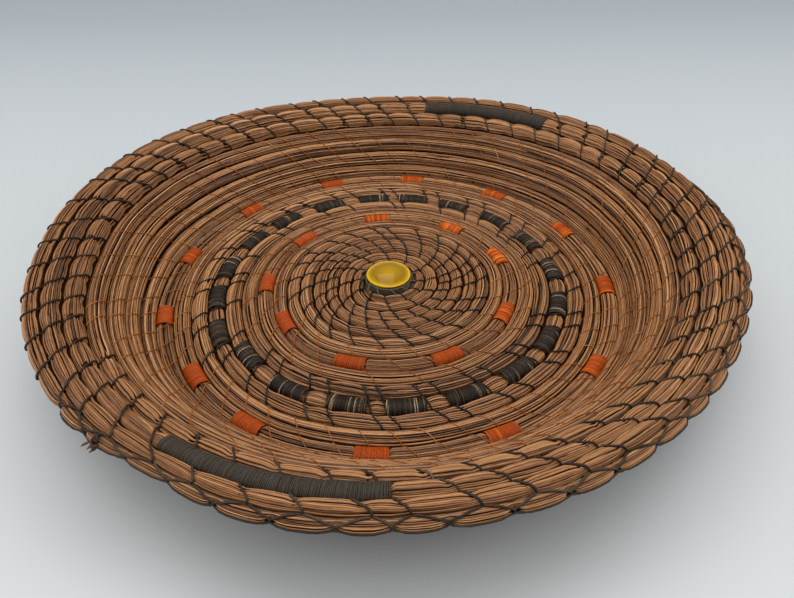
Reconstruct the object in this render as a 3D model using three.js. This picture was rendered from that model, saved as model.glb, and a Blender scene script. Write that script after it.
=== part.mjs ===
// Round coiled basket of pine needles: a shallow, flared bowl.
// One long bundle of needles winds counterclockwise from a centre disc, seen from above. Each round runs as a
// ring and steps out to the next one at the seam. Thread wraps bind the bundle tighter in places.
// Millimetres, +Z up. The basket stands on the outer rounds of its floor, at z = 0.

import * as THREE from 'three';

// The gauge is the ring that the maker feeds the needles through. It sets the bundle's thickness on the wall, and
// so the size of the whole basket. The other zones take a share of it. The last size here is the clear air
// between neighbouring rounds.
const GAUGE_DIAMETER = 7.5;
const CORE_SHARE = 0.752;
const FLOOR_SHARE = 0.96;
const RIM_SHARES = [1.12, 1.013, 0.88, 0.56];
const ROUND_GAP = 0.52;

// How many rounds each zone has. The easing rounds thicken from the core to the floor.
const CORE_ROUNDS = 6;
const EASING_ROUNDS = 3;
const FLOOR_ROUNDS = 14;
const WALL_ROUNDS = 4;

// The seam, where every round steps out by one bundle, and the place where the bundle ends.
const SEAM_ANGLE = -148;
const SEAM_SPAN_ANGLE = 70;
const END_ANGLE = 17;
const END_DIAMETER = 2.6;
const END_TAPER_LENGTH = 58;

// The bowl's shape in section, from the floor outward.
const FLOOR_CROWN = 1.0;
const WALL_ANGLE = 50;
const WALL_BEND_RADIUS = 9.2;
const WALL_STRAIGHT_LENGTH = 15.4;
const RIM_CURVE_RADIUS = 59.6;
const RIM_ANGLE = 8;

// Hand work leaves the rim slightly uneven. It lies a little to one side of the floor, it is a little oval, and its
// rounds spread and close up in three shallow lobes. Each angle is where the rim reaches out farthest.
const RIM_OFFSET = 2.7;
const RIM_OFFSET_ANGLE = 110;
const RIM_OVAL_DEPTH = 1.4;
const RIM_OVAL_ANGLE = 26;
const RIM_LOBES = 3;
const RIM_LOBE_DEPTH = 2.3;

// The centre disc and the thread wound round its edge.
const DISC_DIAMETER = 21.2;
const DISC_UNDERSIDE = 3.4;
const DISC_RIM_HEIGHT = 9.4;
const DISC_RIM_THICKNESS = 0.9;
const DISC_DOME = 0.9;
const DISC_EDGE_ROUNDING = 0.3;
const BINDING_THREAD = 0.95;
const BINDING_LOOPS = 2.75;
const BINDING_LOOP_GAP = 0.45;
const BINDING_OVERHANG = 0.55;

// Thread wraps: how thick the layer of thread is, and the air inside it and to the next rounds.
const WRAP_THICKNESS = 0.6;
const WRAP_GROUND_GAP = 0.15;
const FIT_GAP = 0.3;
const SHOULDER = 1.3;

// Where the wraps sit: their round, their length along the bundle and their angles round the basket.
const INNER_WRAP_ROUND = 8;
const INNER_WRAP_LENGTH = 13;
const INNER_WRAP_ANGLES = [-147.8, -106.6, -65.8, -26.1, 18.5, 53.7, 95.7, 139.2, 180.2];
const DARK_WRAP_ROUND = 11;
const DARK_WRAP_LENGTH = 15.6;
const DARK_WRAP_ANGLES = [
  -139.9, -120.5, -102.1, -85.8, -68.2, -49.7, -32.6, -14.4, 5.2, 24.5,
  43.0, 62.0, 79.4, 95.6, 114.5, 134.1, 151.6, 169.9, 187.2, 205.3,
];
const OUTER_WRAP_ROUND = FLOOR_ROUNDS;
const OUTER_WRAP_LENGTH = 12.7;
const OUTER_WRAP_ANGLES = [
  -142.3, -121.7, -94.0, -66.5, -35.9, -3.8, 24.3, 52.6, 81.4, 108.4, 137.9, 166.5, 192.8,
];
const LONG_WRAP_RIM_ROUND = 2;
const LONG_WRAP_ROUND = FLOOR_ROUNDS + WALL_ROUNDS + LONG_WRAP_RIM_ROUND;
const LONG_WRAP_LENGTH = 75;
const LONG_WRAP_ANGLES = [-105.5, 64.5];

// How finely the bundle is drawn.
const STEPS_PER_ROUND = 24;
const SIDES = 6;

const rad = THREE.MathUtils.degToRad;
const FLAT = Math.cos(Math.PI / SIDES);
const WALL_TOP_ROUND = FLOOR_ROUNDS + WALL_ROUNDS;
const LAST_ROUND = WALL_TOP_ROUND + RIM_SHARES.length;
const CORE_BUNDLE = CORE_SHARE * GAUGE_DIAMETER;
const FLOOR_BUNDLE = FLOOR_SHARE * GAUGE_DIAMETER;
const WALL_BUNDLE = GAUGE_DIAMETER;
const RIM_BUNDLES = RIM_SHARES.map((share) => share * GAUGE_DIAMETER);

// Radius of the bundle in one whole round, counted from 1.
function radiusOfRound(round) {
  if (round <= CORE_ROUNDS) return CORE_BUNDLE / 2;
  if (round <= CORE_ROUNDS + EASING_ROUNDS) {
    const ease = (round - CORE_ROUNDS) / (EASING_ROUNDS + 1);
    return THREE.MathUtils.lerp(CORE_BUNDLE, FLOOR_BUNDLE, ease) / 2;
  }
  if (round <= FLOOR_ROUNDS) return FLOOR_BUNDLE / 2;
  if (round <= WALL_TOP_ROUND) return WALL_BUNDLE / 2;
  return RIM_BUNDLES[Math.min(round, LAST_ROUND) - WALL_TOP_ROUND - 1] / 2;
}

// The bowl in section: a flat floor, a bend, a straight wall and a curve that opens toward the rim.
// arc is the way travelled along the section from the centre, and floorEnd is where the floor stops.
function sectionAt(arc, floorEnd) {
  const wall = rad(WALL_ANGLE);
  const edge = rad(RIM_ANGLE);
  const pieces = [
    { length: floorEnd, from: 0, to: 0 },
    { length: WALL_BEND_RADIUS * wall, from: 0, to: wall },
    { length: WALL_STRAIGHT_LENGTH, from: wall, to: wall },
    { length: RIM_CURVE_RADIUS * (wall - edge), from: wall, to: edge },
    { length: Infinity, from: edge, to: edge },
  ];
  let r = 0;
  let z = 0;
  let left = arc;
  for (const { length, from, to } of pieces) {
    const run = Math.min(left, length);
    const slope = from === to ? to : from + ((to - from) * run) / length;
    if (from === to) {
      r += run * Math.cos(slope);
      z += run * Math.sin(slope);
    } else {
      const bend = length / (to - from);
      r += bend * (Math.sin(slope) - Math.sin(from));
      z -= bend * (Math.cos(slope) - Math.cos(from));
    }
    left -= run;
    if (left <= 0) return { r, z, slope };
  }
  return { r, z, slope: edge };
}

// The binding on the disc's edge sets where the first round starts.
const BINDING_RADIUS = DISC_DIAMETER / 2 - BINDING_OVERHANG + FIT_GAP + BINDING_THREAD / 2;
const HUB_RADIUS = BINDING_RADIUS + BINDING_THREAD / 2 + FIT_GAP;

// Arc position of each whole round. Neighbours lie one gap apart, measured straight across.
const roundArcs = [0, HUB_RADIUS + radiusOfRound(1)];
for (let round = 2; round <= LAST_ROUND; round += 1) {
  const floorEnd = round > FLOOR_ROUNDS ? roundArcs[FLOOR_ROUNDS] : Infinity;
  const reach = radiusOfRound(round - 1) + radiusOfRound(round) + ROUND_GAP;
  const last = sectionAt(roundArcs[round - 1], floorEnd);
  let arc = roundArcs[round - 1] + reach;
  for (let pass = 0; pass < 6; pass += 1) {
    const here = sectionAt(arc, floorEnd);
    arc += reach - Math.hypot(here.r - last.r, here.z - last.z);
  }
  roundArcs.push(arc);
}
const FLOOR_END = roundArcs[FLOOR_ROUNDS];
const SPREAD_START = roundArcs[FLOOR_ROUNDS] + WALL_BUNDLE / 2;
const SPREAD_FULL = roundArcs[LAST_ROUND - 1];

// A value given for whole rounds, read between them. The middle of round n is at n - 0.5.
function betweenRounds(position, valueOf) {
  const low = Math.min(Math.max(Math.floor(position + 0.5), 1), LAST_ROUND - 1);
  return THREE.MathUtils.lerp(valueOf(low), valueOf(low + 1), position + 0.5 - low);
}

// Turns count from the start of the bundle. Away from the seam a round keeps its ring, and at the seam it
// steps out smoothly to the next one.
function ringPosition(turn) {
  const seam = Math.round(turn);
  const across = THREE.MathUtils.clamp((turn - seam) / (SEAM_SPAN_ANGLE / 720), -1, 1);
  return seam + (1.5 * across - 0.5 * across ** 3) / 2;
}

const END_TURN = LAST_ROUND - 1 + Math.round(((END_ANGLE - SEAM_ANGLE) / 360) * STEPS_PER_ROUND) / STEPS_PER_ROUND;
const END_TAPER_TURNS = END_TAPER_LENGTH / (2 * Math.PI * sectionAt(roundArcs[LAST_ROUND], FLOOR_END).r);
const turnAngle = (turn) => rad(SEAM_ANGLE + 360 * turn);

// Moves a place on the section outward or inward with the rim's unevenness, which grows from the floor's edge.
function spread(arc, angle) {
  const share = THREE.MathUtils.clamp((arc - SPREAD_START) / (SPREAD_FULL - SPREAD_START), 0, 1.2);
  const offset = RIM_OFFSET * Math.cos(angle - rad(RIM_OFFSET_ANGLE));
  const oval = RIM_OVAL_DEPTH * Math.cos(2 * (angle - rad(RIM_OVAL_ANGLE)));
  const lobes = RIM_LOBE_DEPTH * Math.sin(RIM_LOBES * angle);
  return arc + share * (offset + oval + lobes);
}

// The bundle's ring of corner points at one turn, in the upright plane through the basket's middle.
function bundleRing(turn) {
  const angle = turnAngle(turn);
  const position = ringPosition(turn);
  const plainRadius = betweenRounds(position, radiusOfRound);
  const plainArc = betweenRounds(position, (round) => roundArcs[round]);
  const taper = THREE.MathUtils.clamp((END_TURN - turn) / END_TAPER_TURNS, 0, 1);
  const inner = Math.max(plainArc - plainRadius, HUB_RADIUS);
  const outer = inner + THREE.MathUtils.lerp(END_DIAMETER, plainArc + plainRadius - inner, taper);
  const from = spread(inner, angle);
  const to = spread(outer, angle);
  const radius = (to - from) / 2;
  const { r, z, slope } = sectionAt((from + to) / 2, FLOOR_END);
  const core = Math.max(0, 1 - (from + to) / 2 / roundArcs[CORE_ROUNDS + EASING_ROUNDS]);
  const lift = position < FLOOR_ROUNDS ? Math.max(0, FLOOR_BUNDLE - 2 * radius) * FLAT : 0;
  const height = radius * FLAT + z + lift + FLOOR_CROWN * core * (2 - core);
  // The flat underside of a round that starts to climb leans only as far as it stays above the ground.
  const lean = height < radius ? Math.min(slope, Math.max(0, Math.asin(height / radius) - Math.asin(FLAT))) : slope;
  const outward = new THREE.Vector3(Math.cos(angle) * Math.cos(lean), Math.sin(angle) * Math.cos(lean), Math.sin(lean));
  const up = new THREE.Vector3(-Math.cos(angle) * Math.sin(lean), -Math.sin(angle) * Math.sin(lean), Math.cos(lean));
  const centre = new THREE.Vector3(r * Math.cos(angle), r * Math.sin(angle), height);
  const corners = [];
  for (let side = 0; side < SIDES; side += 1) {
    const a = (side / SIDES) * 2 * Math.PI;
    corners.push(centre.clone().addScaledVector(outward, radius * Math.cos(a)).addScaledVector(up, radius * Math.sin(a)));
  }
  return { centre, corners, radius };
}

// Between the evenly spaced steps the bundle is straight, so a ring there lies on the line between two steps.
const stepRings = new Map();
function stepRing(step) {
  if (!stepRings.has(step)) stepRings.set(step, bundleRing(Math.min(step / STEPS_PER_ROUND, END_TURN)));
  return stepRings.get(step);
}
function ringOnBundle(turn, scale = 1, lift = 0) {
  const step = turn * STEPS_PER_ROUND;
  const low = Math.min(Math.floor(step + 1e-9), Math.round(END_TURN * STEPS_PER_ROUND) - 1);
  const along = step - low;
  const a = stepRing(low);
  const b = stepRing(low + 1);
  const centre = a.centre.clone().lerp(b.centre, along);
  const corners = a.corners.map((corner, side) => {
    const point = corner.clone().lerp(b.corners[side], along).sub(centre).multiplyScalar(scale).add(centre);
    point.z += lift;
    return point;
  });
  return { centre, corners, radius: THREE.MathUtils.lerp(a.radius, b.radius, along) };
}

// One wrap: its ends as turns, and the sizes of its thread layer and of the bundle drawn tight inside it.
function wrapAt(round, angle, length) {
  const middle = round - 1 + (angle - SEAM_ANGLE) / 360;
  const reach = ringOnBundle(middle).centre;
  const around = 2 * Math.PI * Math.hypot(reach.x, reach.y);
  const half = length / 2 / around;
  const snap = 0.6 / around;
  const settle = (turn) => {
    const step = Math.round(turn * STEPS_PER_ROUND) / STEPS_PER_ROUND;
    return Math.abs(step - turn) < snap ? step : turn;
  };
  const start = settle(middle - half);
  const end = settle(middle + half);
  const before = settle(start - SHOULDER / around);
  const after = settle(end + SHOULDER / around);
  return {
    before: before < start ? before : start - SHOULDER / around,
    start,
    end,
    after: after > end ? after : end + SHOULDER / around,
  };
}
function wrapScales(turn) {
  const { radius } = ringOnBundle(turn);
  const outer = radius + ROUND_GAP - FIT_GAP / FLAT;
  const inner = outer - WRAP_THICKNESS / FLAT;
  return {
    outer: outer / radius,
    inner: inner / radius,
    tight: (inner - FIT_GAP / FLAT) / radius,
    lift: (outer - radius) * FLAT + WRAP_GROUND_GAP,
  };
}

const wrapSets = [
  { name: 'orange_wrap_inner', round: INNER_WRAP_ROUND, length: INNER_WRAP_LENGTH, angles: INNER_WRAP_ANGLES, material: 'orange' },
  { name: 'dark_wrap', round: DARK_WRAP_ROUND, length: DARK_WRAP_LENGTH, angles: DARK_WRAP_ANGLES, material: 'dark' },
  { name: 'orange_wrap_outer', round: OUTER_WRAP_ROUND, length: OUTER_WRAP_LENGTH, angles: OUTER_WRAP_ANGLES, material: 'orange' },
  { name: 'long_dark_wrap', round: LONG_WRAP_ROUND, length: LONG_WRAP_LENGTH, angles: LONG_WRAP_ANGLES, material: 'dark' },
];
const wraps = wrapSets.flatMap((set) => set.angles.map((angle, index) => ({
  name: `${set.name}_${String(index + 1).padStart(2, '0')}`,
  material: set.material,
  ...wrapAt(set.round, angle, set.length),
})));

// The bundle's ring at a turn. A wrap draws it in and lifts it off the ground, and both ease over the shoulders.
function drawnRing(turn) {
  const wrap = wraps.find(({ before, after }) => turn >= before && turn <= after);
  if (!wrap) return ringOnBundle(turn).corners;
  const { tight, lift } = wrapScales(turn);
  let share = 1;
  if (turn < wrap.start) share = (turn - wrap.before) / (wrap.start - wrap.before);
  if (turn > wrap.end) share = (wrap.after - turn) / (wrap.after - wrap.end);
  return ringOnBundle(turn, THREE.MathUtils.lerp(1, tight, share), lift * share).corners;
}

// The evenly spaced steps inside a stretch of the bundle, with the stretch's own ends.
function turnsAlong(start, end, extra = []) {
  const turns = new Set([start, end, ...extra]);
  for (let step = Math.ceil(start * STEPS_PER_ROUND - 1e-9); step <= end * STEPS_PER_ROUND + 1e-9; step += 1) {
    turns.add(step / STEPS_PER_ROUND);
  }
  const sorted = [...turns].sort((a, b) => a - b);
  return sorted.filter((turn, index) => index === 0 || turn - sorted[index - 1] > 1e-7);
}

// A closed body from a list of rings of points. Each ring has the same number of points. With closed true, the
// rings join end to start, otherwise the first and last ring are filled.
function bodyFromRings(rings, closed = false) {
  const sides = rings[0].length;
  const positions = rings.flat().flatMap((point) => [point.x, point.y, point.z]);
  const index = [];
  const count = closed ? rings.length : rings.length - 1;
  for (let ring = 0; ring < count; ring += 1) {
    const next = (ring + 1) % rings.length;
    for (let side = 0; side < sides; side += 1) {
      const beside = (side + 1) % sides;
      const [a, b, c, d] = [ring * sides + side, next * sides + side, next * sides + beside, ring * sides + beside];
      index.push(a, d, b, d, c, b);
    }
  }
  if (!closed) {
    const last = (rings.length - 1) * sides;
    for (let side = 1; side < sides - 1; side += 1) {
      index.push(0, side + 1, side);
      index.push(last, last + side, last + side + 1);
    }
  }
  return facingOut(positions, index);
}

// A mesh geometry whose faces point out: the enclosed volume is positive.
function facingOut(positions, index) {
  let volume = 0;
  const at = (i) => new THREE.Vector3().fromArray(positions, 3 * i);
  for (let i = 0; i < index.length; i += 3) {
    volume += at(index[i]).dot(at(index[i + 1]).cross(at(index[i + 2])));
  }
  if (volume < 0) {
    for (let i = 0; i < index.length; i += 3) [index[i + 1], index[i + 2]] = [index[i + 2], index[i + 1]];
  }
  const geometry = new THREE.BufferGeometry();
  geometry.setAttribute('position', new THREE.Float32BufferAttribute(positions, 3));
  geometry.setIndex(index);
  geometry.computeVertexNormals();
  return geometry;
}

// The needle bundle, one unbroken tube from the centre to the rim's end.
const coilTurns = turnsAlong(0, END_TURN, wraps.flatMap(({ before, start, end, after }) => [before, start, end, after]));
const coilRings = coilTurns.map(drawnRing);
const coilGeometry = bodyFromRings(coilRings);

// A wrap's thread layer: a sleeve with the bundle's own section, open at both ends.
function sleeveGeometry({ start, end }) {
  const stations = turnsAlong(start, end);
  const profile = stations.map((turn) => {
    const { outer, inner, lift } = wrapScales(turn);
    return { outer: ringOnBundle(turn, outer, lift).corners, inner: ringOnBundle(turn, inner, lift).corners };
  });
  const loops = [...profile.map(({ outer }) => outer), ...profile.map(({ inner }) => inner).reverse()];
  return bodyFromRings(loops, true);
}

// The least gap from each round of a winding to its next round, measured from points on its corners to the faces
// one round on. Each ring of the winding has its turn, counted from the start.
function leastGap(rings, turns) {
  const triangle = new THREE.Triangle();
  const nearest = new THREE.Vector3();
  let least = Infinity;
  let first = 0;
  for (let i = 0; turns[i + 1] + 1 < turns.at(-1); i += 1) {
    while (turns[first + 1] < turns[i] + 1 - 1.5 / STEPS_PER_ROUND) first += 1;
    for (let j = first; j < turns.length - 1 && turns[j] < turns[i + 1] + 1 + 1.5 / STEPS_PER_ROUND; j += 1) {
      for (let side = 0; side < SIDES; side += 1) {
        const beside = (side + 1) % SIDES;
        const [a, b, c, d] = [rings[j][side], rings[j + 1][side], rings[j + 1][beside], rings[j][beside]];
        for (const [p, q, s] of [[a, d, b], [d, c, b]]) {
          triangle.set(p, q, s);
          for (let corner = 0; corner < SIDES; corner += 1) {
            for (const share of [0, 1 / 3, 2 / 3]) {
              const point = rings[i][corner].clone().lerp(rings[i + 1][corner], share);
              least = Math.min(least, triangle.closestPointToPoint(point, nearest).distanceTo(point));
            }
          }
        }
      }
    }
  }
  return least;
}

// The disc: a flat back, a neck that the binding grips, a wider rim and a low dome.
function discGeometry() {
  const rim = DISC_DIAMETER / 2;
  const neck = rim - BINDING_OVERHANG;
  const shoulder = DISC_RIM_HEIGHT - DISC_RIM_THICKNESS;
  const outline = [
    [0, DISC_UNDERSIDE],
    [neck - DISC_EDGE_ROUNDING, DISC_UNDERSIDE],
    [neck, DISC_UNDERSIDE + DISC_EDGE_ROUNDING],
    [neck, shoulder],
    [rim - DISC_EDGE_ROUNDING, shoulder],
    [rim, shoulder + DISC_EDGE_ROUNDING],
    [rim, DISC_RIM_HEIGHT - DISC_EDGE_ROUNDING],
    [rim - DISC_EDGE_ROUNDING, DISC_RIM_HEIGHT],
  ];
  const dome = rim - DISC_EDGE_ROUNDING;
  for (const share of [0.85, 0.6, 0.3]) outline.push([dome * share, DISC_RIM_HEIGHT + DISC_DOME * (1 - share ** 2)]);
  outline.push([0, DISC_RIM_HEIGHT + DISC_DOME]);
  const geometry = new THREE.LatheGeometry(outline.map(([x, y]) => new THREE.Vector2(x, y)), 48);
  return geometry.rotateX(Math.PI / 2);
}

// The binding: one thread, wound round the disc's neck from below its rim down.
const bindingTurns = turnsAlong(0, BINDING_LOOPS);
const bindingRings = bindingTurns.map((turn) => {
  const top = DISC_RIM_HEIGHT - DISC_RIM_THICKNESS - FIT_GAP - BINDING_THREAD / 2;
  const angle = turnAngle(turn);
  const z = top - (BINDING_THREAD + BINDING_LOOP_GAP) * turn;
  return Array.from({ length: SIDES }, (_, side) => {
    const a = (side / SIDES) * 2 * Math.PI;
    const r = BINDING_RADIUS + (BINDING_THREAD / 2) * Math.cos(a);
    return new THREE.Vector3(r * Math.cos(angle), r * Math.sin(angle), z + (BINDING_THREAD / 2) * Math.sin(a));
  });
});

const materials = {
  needles: new THREE.MeshStandardMaterial({ color: '#9a734e', roughness: 0.75, metalness: 0 }),
  orange: new THREE.MeshStandardMaterial({ color: '#c8622a', roughness: 0.6, metalness: 0 }),
  dark: new THREE.MeshStandardMaterial({ color: '#47423d', roughness: 0.6, metalness: 0 }),
  binding: new THREE.MeshStandardMaterial({ color: '#3d3934', roughness: 0.6, metalness: 0 }),
  disc: new THREE.MeshStandardMaterial({ color: '#c9a000', roughness: 0.15, metalness: 0 }),
};

function part(name, geometry, material) {
  const mesh = new THREE.Mesh(geometry, material);
  mesh.name = name;
  return mesh;
}

const basket = new THREE.Group();
basket.add(part('needle_coil', coilGeometry, materials.needles));
basket.add(part('centre_disc', discGeometry(), materials.disc));
basket.add(part('centre_binding', bodyFromRings(bindingRings), materials.binding));
for (const wrap of wraps) basket.add(part(wrap.name, sleeveGeometry(wrap), materials[wrap.material]));

// The origin is under the middle of the basket's outline, on the ground.
coilGeometry.computeBoundingBox();
const middle = coilGeometry.boundingBox.getCenter(new THREE.Vector3());
basket.position.set(-middle.x, -middle.y, 0);

console.log(`least gap between rounds ${leastGap(coilRings, coilTurns).toFixed(3)} mm`);
console.log(`least gap between binding loops ${leastGap(bindingRings, bindingTurns).toFixed(3)} mm`);

export default basket;
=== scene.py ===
"""Looks for a round coiled basket of pine needles, with thread wraps and a glossy disc in the middle.

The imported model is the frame. Its coil, wraps, binding and disc are wound again here from single needles and
threads that follow the same path. Lengths are in millimetres until a mesh is made.
"""

from __future__ import annotations

import logging
import math
from dataclasses import dataclass, field, fields, replace
from enum import Enum

import bmesh
import bpy
import numpy as np
from bpy.types import Material, Mesh, Node, NodeSocket, World
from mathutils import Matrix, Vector
from numpy import ndarray

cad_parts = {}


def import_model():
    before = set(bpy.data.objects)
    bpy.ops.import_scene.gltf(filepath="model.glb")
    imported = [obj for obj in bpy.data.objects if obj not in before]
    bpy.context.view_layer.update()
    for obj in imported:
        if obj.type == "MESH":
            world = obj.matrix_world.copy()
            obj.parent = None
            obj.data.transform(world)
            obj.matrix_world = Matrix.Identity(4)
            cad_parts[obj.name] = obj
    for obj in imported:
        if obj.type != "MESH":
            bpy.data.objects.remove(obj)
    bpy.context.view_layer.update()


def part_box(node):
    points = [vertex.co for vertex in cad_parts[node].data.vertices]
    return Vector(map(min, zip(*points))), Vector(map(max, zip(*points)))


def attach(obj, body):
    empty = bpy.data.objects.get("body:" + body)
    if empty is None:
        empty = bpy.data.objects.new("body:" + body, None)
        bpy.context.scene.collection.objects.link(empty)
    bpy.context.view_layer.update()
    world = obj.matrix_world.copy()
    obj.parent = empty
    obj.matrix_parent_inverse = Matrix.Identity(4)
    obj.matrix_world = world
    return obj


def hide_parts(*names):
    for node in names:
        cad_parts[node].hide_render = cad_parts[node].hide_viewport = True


LOG = logging.getLogger("coiled_basket")
MM = 0.001
TAU = 2 * math.pi
FULLNESS = 0.94


def linear(hex_colour: str) -> tuple[float, float, float, float]:
    """Turns an sRGB hex value into linear red, green and blue, with an alpha of 1."""
    parts = [int(hex_colour[i : i + 2], 16) / 255 for i in (1, 3, 5)]
    return (*[c / 12.92 if c <= 0.04045 else ((c + 0.055) / 1.055) ** 2.4 for c in parts], 1.0)


class NodeKit:
    """Adds nodes to the tree of a material or a world."""

    def __init__(self, holder: Material | World) -> None:
        """Empties a node tree but for an output.

        Args:
            holder: The material or world that has the tree.
        """
        holder.use_nodes = True
        self.tree = holder.node_tree
        self.tree.nodes.clear()
        self.output = self.add("OutputWorld" if isinstance(holder, World) else "OutputMaterial")

    def add(self, kind: str, inputs: dict | None = None, **settings: object) -> Node:
        """Adds a node with its settings, and sets or links its inputs.

        Args:
            kind: The node's type, without the start that all types share.
            inputs: Values or output sockets, by input name or number.
            settings: Properties of the node.

        Returns:
            The new node.
        """
        node = self.tree.nodes.new(f"ShaderNode{kind}")
        for name, value in settings.items():
            setattr(node, name, value)
        for key, value in (inputs or {}).items():
            if isinstance(value, NodeSocket):
                self.link(value, node, key)
            else:
                node.inputs[key].default_value = value
        return node

    def link(self, socket: NodeSocket, node: Node, name: str | int) -> None:
        """Links a socket to a node's input, in place of any other."""
        self.tree.links.new(socket, node.inputs[name])

    def compute(self, operation: str, *values: object, **settings: object) -> NodeSocket:
        """Adds a Math node on values or sockets, and gives its result."""
        return self.add("Math", dict(enumerate(values)), operation=operation, **settings).outputs[0]

    def mix(self, share: NodeSocket, first: Node, second: Node) -> None:
        """Shows a mix of two shaders."""
        mixed = self.add("MixShader", {0: share, 1: first.outputs[0], 2: second.outputs[0]})
        self.link(mixed.outputs[0], self.output, "Surface")

    def noise(self, place: NodeSocket, scale: float, detail: float) -> NodeSocket:
        """Adds a noise and gives its value."""
        return self.add("TexNoise", {"Vector": place, "Scale": scale, "Detail": detail}).outputs["Fac"]

    def patches(self, lay: dict, length: float, detail: float) -> NodeSocket:
        """Adds a noise along the strands, from their attribute, with patches of a length in millimetres."""
        along = self.compute("DIVIDE", lay["X"], length)
        return self.noise(self.add("CombineXYZ", {"X": along, "Y": lay["Y"]}).outputs[0], 1.0, detail)

    def split(self, vector: NodeSocket) -> dict[str, NodeSocket]:
        """Gives the X, Y and Z of a vector."""
        return dict(self.add("SeparateXYZ", {0: vector}).outputs.items())

    def lay(self) -> dict[str, NodeSocket]:
        """Gives the parts of the strands' attribute."""
        return self.split(self.add("Attribute", attribute_name="lay").outputs["Vector"])

    def reach(self, vector: NodeSocket) -> NodeSocket:
        """Gives a vector's length."""
        return self.add("VectorMath", {0: vector}, operation="LENGTH").outputs["Value"]

    def ramp(self, factor: NodeSocket, stops: dict[float, str]) -> NodeSocket:
        """Adds a colour ramp.

        Args:
            factor: The value that runs along the ramp.
            stops: sRGB hex colours by their place on the ramp.

        Returns:
            The ramp's colour.
        """
        ramp = self.add("ValToRGB", {"Fac": factor})
        elements = ramp.color_ramp.elements
        while len(elements) < len(stops):
            elements.new(0.5)
        for element, (place, colour) in zip(elements, sorted(stops.items())):
            element.position = place
            element.color = linear(colour)
        return ramp.outputs["Color"]

    def relief(self, height: NodeSocket, strength: float, depth: float) -> NodeSocket:
        """Gives the normal of a relief, with its depth in millimetres."""
        relief = self.add("Bump", {"Strength": strength, "Distance": depth * MM, "Height": height})
        return relief.outputs["Normal"]

    def seen(self) -> NodeSocket:
        """Tells the rays that show the background from those that light the scene.

        Returns:
            A socket that is 1 for what the camera sees, also in a reflection or through glass, and else 0.
        """
        path = self.add("LightPath").outputs
        seen = path["Is Camera Ray"]
        for name in ("Is Glossy Ray", "Is Transmission Ray"):
            seen = self.compute("ADD", seen, path[name], use_clamp=True)
        return seen


def new_material(name: str, roughness: float, specular: float) -> tuple[Material, NodeKit, Node]:
    """Makes a material that has only a Principled shader.

    Args:
        name: The material's name.
        roughness: Its roughness.
        specular: Its specular level.

    Returns:
        The material, its nodes and its shader.
    """
    material = bpy.data.materials.new(name)
    kit = NodeKit(material)
    shader = kit.add("BsdfPrincipled", {"Roughness": roughness, "Specular IOR Level": specular})
    kit.link(shader.outputs["BSDF"], kit.output, "Surface")
    return material, kit, shader


@dataclass(frozen=True)
class DriedNeedleFinish:
    """Dried pine needles: a thin waxy skin over brown fibre, satin, with each needle its own shade."""

    name: str = "dried_pine_needle"
    stops: tuple[tuple[float, str], ...] = (
        (0.0, "#20130b"), (0.2, "#543621"), (0.45, "#8a5d39"),
        (0.65, "#ac7b4e"), (0.84, "#c09268"), (1.0, "#d0a87c"),
    )
    roughness: float = 0.42
    specular: float = 0.33
    patches: tuple[tuple[float, float], ...] = ((14.0, 0.42), (3.2, 0.3))
    grooves: tuple[float, float, float] = (2.0, 6.0, 1.0)

    def material(self) -> Material:
        """Builds the needles' material.

        Returns:
            The material.
        """
        material, kit, shader = new_material(self.name, self.roughness, self.specular)
        lay = kit.lay()
        shade = lay["Z"]
        # Longer patches come from how the needle dried, short flecks from its skin.
        for length, share in self.patches:
            offset = kit.compute("MULTIPLY_ADD", kit.patches(lay, length, 1.0), share, -share / 2)
            shade = kit.compute("ADD", shade, offset)
        kit.link(kit.ramp(shade, dict(self.stops)), shader, "Base Color")
        # Fine lengthwise grooves, about six round a needle, drawn on the strand's own UV.
        uv = kit.add("UVMap", uv_map="UVMap").outputs["UV"]
        grooves = kit.noise(kit.add("Mapping", {"Vector": uv, "Scale": self.grooves}).outputs[0], 1.5, 1.0)
        kit.link(kit.relief(grooves, 0.25, 0.1), shader, "Normal")
        return material


@dataclass(frozen=True)
class ThreadFinish:
    """Waxed thread: twisted fibre with a soft wax sheen and fine slanting ply lines."""

    name: str
    dark: str
    middle: str
    pale: str
    roughness: float = 0.55
    patch_length: float = 7.0
    specular: float = 0.22
    ply_length: float = 0.9
    patch_share: float = 0.7

    def material(self) -> Material:
        """Builds the thread's material.

        Returns:
            The material.
        """
        material, kit, shader = new_material(self.name, self.roughness, self.specular)
        lay = kit.lay()
        patches = kit.patches(lay, self.patch_length, 3.0)
        shade = kit.compute("MULTIPLY_ADD", patches, self.patch_share, lay["Z"])
        shade = kit.compute("SUBTRACT", shade, self.patch_share / 2)
        colour = kit.ramp(shade, {0.1: self.dark, 0.5: self.middle, 0.95: self.pale})
        kit.link(colour, shader, "Base Color")
        # The ply of the thread: a slanting ridge for each ply_length along it.
        around = kit.split(kit.add("UVMap", uv_map="UVMap").outputs["UV"])["Y"]
        slant = kit.compute("ADD", kit.compute("DIVIDE", lay["X"], self.ply_length), around)
        ridge = kit.compute("PINGPONG", slant, 0.5)
        kit.link(kit.relief(ridge, 0.5, 0.15), shader, "Normal")
        return material


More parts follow.
